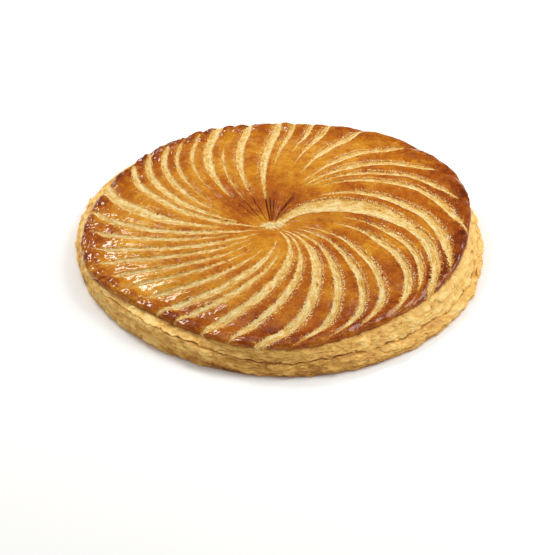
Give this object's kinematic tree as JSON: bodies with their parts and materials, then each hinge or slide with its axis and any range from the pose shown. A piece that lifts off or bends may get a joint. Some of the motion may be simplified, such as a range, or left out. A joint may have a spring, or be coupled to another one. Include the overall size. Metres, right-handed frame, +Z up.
{
  "type": "galette des rois",
  "caption": "Round puff pastry cake, low and domed, glazed brown on top with a swirl of curved knife scores, flaky all round its edge.",
  "frame": {"origin": "middle of the flat underside, at the centre of the cake's bounding box", "axes": "+Z up out of the glazed top, +X to the right and -Y to the front as served"},
  "size_m": [0.2776, 0.2826, 0.0287],
  "materials": {
    "baked_crust": "egg-glazed puff pastry, baked golden brown on top and pale and flaky at the side"
  },
  "bodies": {
    "root": {"galette": "baked_crust"}
  },
  "joints": []
}
